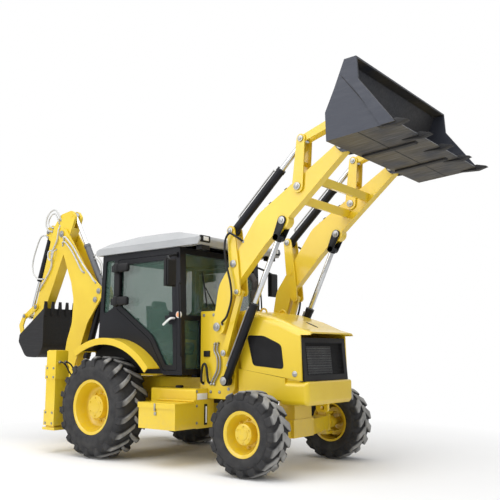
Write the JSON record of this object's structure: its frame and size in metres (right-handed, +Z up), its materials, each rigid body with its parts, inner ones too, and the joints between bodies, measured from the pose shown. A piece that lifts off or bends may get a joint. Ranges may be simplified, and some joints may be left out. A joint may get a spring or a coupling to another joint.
{
  "type": "backhoe loader",
  "caption": "Wheeled backhoe loader with a glazed cab, raised front loader bucket, side-shifting folded backhoe at the rear and vertical stabiliser legs.",
  "frame": {"origin": "on the ground below the middle of the overall length and width", "axes": "+X forward to the loader bucket, +Y to the machine's left, +Z up"},
  "size_m": [7.359, 2.3, 4.301],
  "materials": {
    "yellow_paint": "satin",
    "dark_engine": "cast",
    "black_plastic": "matte",
    "black_paint": "satin",
    "exhaust_steel": "matte",
    "roof_grey": "gloss",
    "tinted_glass": "clear",
    "seat_fabric": "woven",
    "rubber": "matte",
    "chrome_rod": "polished",
    "grey_paint": "satin",
    "worn_steel": "worn",
    "dark_steel": "worn"
  },
  "bodies": {
    "chassis": {"chassis_frame": "yellow_paint", "axles": "yellow_paint", "engine_block": "dark_engine", "nose": "yellow_paint", "grille": "black_plastic", "cowl": "yellow_paint", "exhaust": "exhaust_steel", "cab_frame": "black_paint", "cab_glass": "tinted_glass", "cab_roof": "roof_grey", "rear_fenders": "yellow_paint", "side_tanks": "yellow_paint", "seat": "seat_fabric", "controls": "black_plastic", "mirrors_lamps": "black_plastic"},
    "knuckle_left": {"knuckle_left": "yellow_paint"},
    "front_wheel_left": {"front_tyre_left": "rubber", "front_rim_left": "yellow_paint"},
    "rear_wheel_left": {"rear_tyre_left": "rubber", "rear_rim_left": "yellow_paint"},
    "door_left": {"door_left": "black_paint", "door_glass_left": "tinted_glass"},
    "stabiliser_left": {"stabiliser_left": "yellow_paint"},
    "knuckle_right": {"knuckle_right": "yellow_paint"},
    "front_wheel_right": {"front_tyre_right": "rubber", "front_rim_right": "yellow_paint"},
    "rear_wheel_right": {"rear_tyre_right": "rubber", "rear_rim_right": "yellow_paint"},
    "door_right": {"door_right": "black_paint", "door_glass_right": "tinted_glass"},
    "stabiliser_right": {"stabiliser_right": "yellow_paint"},
    "hood": {"hood": "yellow_paint", "hood_vents": "black_plastic"},
    "toolbox_lid": {"toolbox_lid": "yellow_paint"},
    "loader_arms": {"loader_arms": "yellow_paint"},
    "levelling_levers": {"levelling_levers": "yellow_paint"},
    "levelling_links": {"levelling_links": "yellow_paint"},
    "tilt_barrels": {"tilt_barrels": "black_paint"},
    "tilt_pistons": {"tilt_pistons": "chrome_rod"},
    "tilt_rods": {"tilt_rods": "chrome_rod"},
    "bucket_levers": {"bucket_levers": "yellow_paint"},
    "bucket_links": {"bucket_links": "yellow_paint"},
    "lift_barrels": {"lift_barrels": "black_paint"},
    "lift_rods": {"lift_rods": "chrome_rod"},
    "loader_bucket": {"loader_bucket": "worn_steel"},
    "carriage": {"carriage": "yellow_paint"},
    "kingpost": {"kingpost": "yellow_paint"},
    "boom": {"boom": "yellow_paint"},
    "boom_barrel": {"boom_barrel": "black_paint"},
    "boom_rod": {"boom_rod": "chrome_rod"},
    "stick": {"stick": "yellow_paint"},
    "stick_barrel": {"stick_barrel": "grey_paint"},
    "stick_rod": {"stick_rod": "chrome_rod"},
    "hoe_barrel": {"hoe_barrel": "black_paint"},
    "hoe_rod": {"hoe_rod": "chrome_rod"},
    "rocker": {"rocker": "yellow_paint"},
    "hoe_link": {"hoe_link": "yellow_paint"},
    "hoe_bucket": {"hoe_bucket": "dark_steel"}
  },
  "joints": [
    {"name": "steer_left", "type": "hinge", "parent": "chassis", "child": "knuckle_left", "pos_m": [1.6165, 0.69, 0.46], "axis": [0, 0, 1], "range_deg": [-32, 32]},
    {"name": "steer_right", "type": "hinge", "parent": "chassis", "child": "knuckle_right", "pos_m": [1.6165, -0.69, 0.46], "axis": [0, 0, 1], "range_deg": [-32.5, 32.5]},
    {"name": "front_wheel_left_spin", "type": "hinge", "parent": "knuckle_left", "child": "front_wheel_left", "pos_m": [1.6165, 0.895, 0.46], "axis": [0, 1, 0], "continuous": true},
    {"name": "rear_wheel_left_spin", "type": "hinge", "parent": "chassis", "child": "rear_wheel_left", "pos_m": [-0.7835, 0.91, 0.64], "axis": [0, 1, 0], "continuous": true},
    {"name": "front_wheel_right_spin", "type": "hinge", "parent": "knuckle_right", "child": "front_wheel_right", "pos_m": [1.6165, -0.895, 0.46], "axis": [0, 1, 0], "continuous": true},
    {"name": "rear_wheel_right_spin", "type": "hinge", "parent": "chassis", "child": "rear_wheel_right", "pos_m": [-0.7835, -0.91, 0.64], "axis": [0, 1, 0], "continuous": true},
    {"name": "loader_lift", "type": "hinge", "parent": "chassis", "child": "loader_arms", "pos_m": [0.9405, 0, 1.635], "axis": [0, -1, 0], "range_deg": [-77.5, 0]},
    {"name": "lift_barrel_swing", "type": "hinge", "parent": "chassis", "child": "lift_barrels", "pos_m": [1.0345, 0, 1], "axis": [0, -1, 0], "range_deg": [-63.85, 0.5]},
    {"name": "lift_rod_slide", "type": "slide", "parent": "lift_barrels", "child": "lift_rods", "axis": [0.4293, 0, 0.9032], "range_m": [-0.7688, 0.003]},
    {"name": "levelling_lever_swing", "type": "hinge", "parent": "loader_arms", "child": "levelling_levers", "pos_m": [1.2045, 0, 2.377], "axis": [0, -1, 0], "range_deg": [-0.5, 76.97]},
    {"name": "levelling_link_swing", "type": "hinge", "parent": "chassis", "child": "levelling_links", "pos_m": [1.0165, 0, 1.325], "axis": [0, -1, 0], "range_deg": [-81.59, 0.5]},
    {"name": "bucket_tilt", "type": "hinge", "parent": "loader_arms", "child": "loader_bucket", "pos_m": [2.6945, 0, 3.562], "axis": [0, 1, 0], "range_deg": [-85, 45]},
    {"name": "bucket_lever_swing", "type": "hinge", "parent": "loader_arms", "child": "bucket_levers", "pos_m": [2.1265, 0, 3.187], "axis": [0, -1, 0], "range_deg": [-26.57, 49.75]},
    {"name": "tilt_rod_swing", "type": "hinge", "parent": "bucket_levers", "child": "tilt_rods", "pos_m": [2.1785, 0, 3.733], "axis": [0, -1, 0], "range_deg": [-36.61, 19.62]},
    {"name": "tilt_piston_slide", "type": "slide", "parent": "tilt_rods", "child": "tilt_pistons", "axis": [-0.7317, 0, -0.6816], "range_m": [-0.358, 0.1909]},
    {"name": "tilt_barrel_slide", "type": "slide", "parent": "tilt_pistons", "child": "tilt_barrels", "axis": [-0.7317, 0, -0.6816], "range_m": [-0.003, 0.5111]},
    {"name": "bucket_link_swing", "type": "hinge", "parent": "bucket_levers", "child": "bucket_links", "pos_m": [2.1785, 0, 3.733], "axis": [0, -1, 0], "range_deg": [-62.37, 33.26]},
    {"name": "hood_hinge", "type": "hinge", "parent": "chassis", "child": "hood", "pos_m": [1.1845, 0, 1.852], "axis": [0, -1, 0], "range_deg": [0, 50]},
    {"name": "door_left_hinge", "type": "hinge", "parent": "chassis", "child": "door_left", "pos_m": [-0.7295, 0.815, 2.22], "axis": [0, 0, 1], "range_deg": [0, 80]},
    {"name": "door_right_hinge", "type": "hinge", "parent": "chassis", "child": "door_right", "pos_m": [-0.7295, -0.815, 2.22], "axis": [0, 0, -1], "range_deg": [0, 80]},
    {"name": "toolbox_lid_hinge", "type": "hinge", "parent": "chassis", "child": "toolbox_lid", "pos_m": [0.389, -0.774, 0.757], "axis": [-1, 0, 0], "range_deg": [0, 80]},
    {"name": "carriage_shift", "type": "slide", "parent": "chassis", "child": "carriage", "axis": [0, 1, 0], "range_m": [-0.4, 0.7]},
    {"name": "boom_swing", "type": "hinge", "parent": "carriage", "child": "kingpost", "pos_m": [-2.1035, -0.15, 0.7], "axis": [0, 0, 1], "range_deg": [-80, 80]},
    {"name": "boom_lower", "type": "hinge", "parent": "kingpost", "child": "boom", "pos_m": [-2.4835, -0.15, 0.68], "axis": [0, -1, 0], "range_deg": [0, 105]},
    {"name": "boom_rod_swing", "type": "hinge", "parent": "kingpost", "child": "boom_rod", "pos_m": [-2.1835, -0.15, 1], "axis": [0, -1, 0], "range_deg": [-0.5, 114.68]},
    {"name": "boom_barrel_slide", "type": "slide", "parent": "boom_rod", "child": "boom_barrel", "axis": [0.3315, 0, 0.9435], "range_m": [-0.003, 0.6518]},
    {"name": "stick_open", "type": "hinge", "parent": "boom", "child": "stick", "pos_m": [-2.6535, -0.15, 3.19], "axis": [0, 1, 0], "range_deg": [0, 115]},
    {"name": "stick_barrel_swing", "type": "hinge", "parent": "boom", "child": "stick_barrel", "pos_m": [-1.7185, -0.15, 2.235], "axis": [0, -1, 0], "range_deg": [-0.5, 11.05]},
    {"name": "stick_rod_slide", "type": "slide", "parent": "stick_barrel", "child": "stick_rod", "axis": [-0.5185, 0, 0.8551], "range_m": [-0.5163, 0.003]},
    {"name": "hoe_bucket_dump", "type": "hinge", "parent": "stick", "child": "hoe_bucket", "pos_m": [-3.3135, -0.15, 1.74], "axis": [0, 1, 0], "range_deg": [0, 105]},
    {"name": "rocker_swing", "type": "hinge", "parent": "stick", "child": "rocker", "pos_m": [-3.2835, -0.15, 2.06], "axis": [0, -1, 0], "range_deg": [-105.5, 0.5]},
    {"name": "hoe_link_swing", "type": "hinge", "parent": "rocker", "child": "hoe_link", "pos_m": [-3.5475, -0.15, 1.918], "axis": [0, -1, 0], "range_deg": [-0.5, 105.5]},
    {"name": "hoe_barrel_swing", "type": "hinge", "parent": "stick", "child": "hoe_barrel", "pos_m": [-3.0735, -0.15, 3.27], "axis": [0, -1, 0], "range_deg": [-2.69, 0.5]},
    {"name": "hoe_rod_slide", "type": "slide", "parent": "hoe_barrel", "child": "hoe_rod", "axis": [-0.3308, 0, -0.9437], "range_m": [-0.4795, 0.003]},
    {"name": "stabiliser_left_slide", "type": "slide", "parent": "chassis", "child": "stabiliser_left", "axis": [0, 0, -1], "range_m": [0, 0.55]},
    {"name": "stabiliser_right_slide", "type": "slide", "parent": "chassis", "child": "stabiliser_right", "axis": [0, 0, -1], "range_m": [0, 0.55]}
  ],
  "couplings": [
    {"joint": "steer_right", "follows": "steer_left", "ratio": 1},
    {"joint": "lift_barrel_swing", "follows": "loader_lift", "ratio": 0.81744},
    {"joint": "lift_rod_slide", "follows": "loader_lift", "m_per_rad": 0.56619},
    {"joint": "levelling_lever_swing", "follows": "loader_lift", "ratio": -0.98667},
    {"joint": "levelling_link_swing", "follows": "loader_lift", "ratio": 1.0463},
    {"joint": "bucket_lever_swing", "follows": "bucket_tilt", "ratio": -0.5794},
    {"joint": "tilt_rod_swing", "follows": "bucket_tilt", "ratio": 0.42483},
    {"joint": "tilt_piston_slide", "follows": "bucket_tilt", "m_per_rad": 0.23927},
    {"joint": "tilt_barrel_slide", "follows": "loader_lift", "m_per_rad": -0.37561},
    {"joint": "bucket_link_swing", "follows": "bucket_tilt", "ratio": 0.72791},
    {"joint": "boom_rod_swing", "follows": "boom_lower", "ratio": 1.0874},
    {"joint": "boom_barrel_slide", "follows": "boom_lower", "m_per_rad": 0.35405},
    {"joint": "stick_barrel_swing", "follows": "stick_open", "ratio": 0.091768},
    {"joint": "stick_rod_slide", "follows": "stick_open", "m_per_rad": -0.25574},
    {"joint": "rocker_swing", "follows": "hoe_bucket_dump", "ratio": -1},
    {"joint": "hoe_link_swing", "follows": "hoe_bucket_dump", "ratio": 1},
    {"joint": "hoe_barrel_swing", "follows": "hoe_bucket_dump", "ratio": -0.020846},
    {"joint": "hoe_rod_slide", "follows": "hoe_bucket_dump", "m_per_rad": -0.26}
  ]
}
